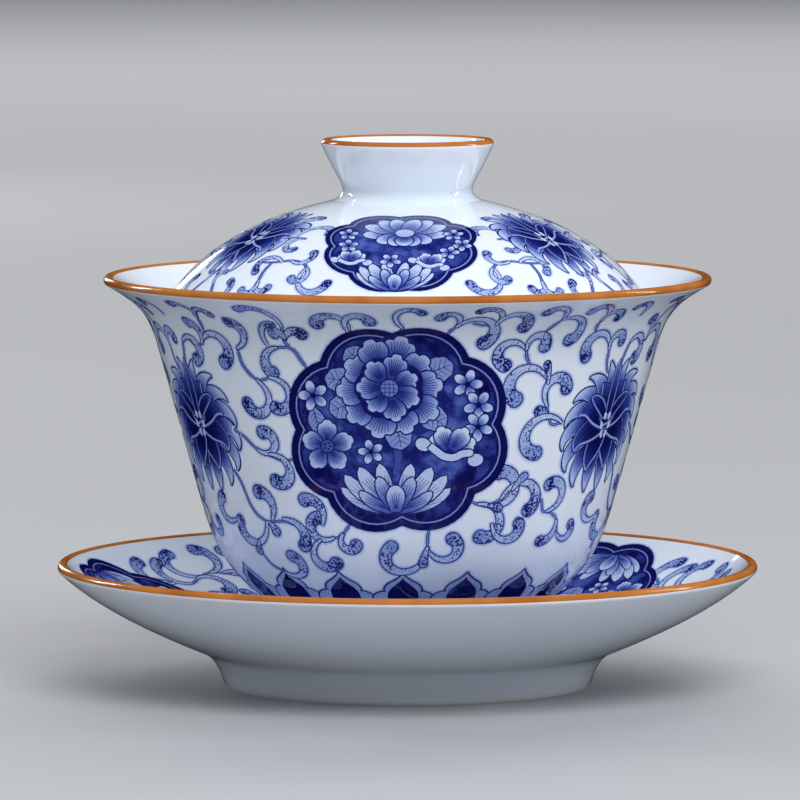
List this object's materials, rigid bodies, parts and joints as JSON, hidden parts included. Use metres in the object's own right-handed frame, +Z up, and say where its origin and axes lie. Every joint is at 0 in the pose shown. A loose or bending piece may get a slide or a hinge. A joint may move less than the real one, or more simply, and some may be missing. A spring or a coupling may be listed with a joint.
{
  "type": "gaiwan",
  "caption": "Lidded porcelain tea bowl with a flared lip, a domed lid with a ring knob and a footed saucer, painted in cobalt blue under a clear glaze.",
  "frame": {"origin": "on the table at the middle of the saucer's foot ring", "axes": "+Z up along the axis that the saucer, the bowl and the lid share; -Y faces the viewer of the painted front"},
  "size_m": [0.1154, 0.1154, 0.0901],
  "materials": {
    "porcelain": "clear glossy glaze over white porcelain, with underglaze cobalt painting",
    "brown_glaze": "glossy orange-brown iron glaze"
  },
  "bodies": {
    "saucer": {"saucer_body": "porcelain", "saucer_rim_band": "brown_glaze"},
    "bowl": {"bowl_body": "porcelain", "bowl_rim_band": "brown_glaze"},
    "lid": {"lid_dome": "porcelain", "lid_knob": "porcelain", "knob_rim_band": "brown_glaze"}
  },
  "joints": [
    {"name": "bowl_lift", "type": "slide", "parent": "saucer", "child": "bowl", "axis": [0, 0, 1], "range_m": [0, 0.05]},
    {"name": "lid_lift", "type": "slide", "parent": "bowl", "child": "lid", "axis": [0, 0, 1], "range_m": [0, 0.04]}
  ]
}
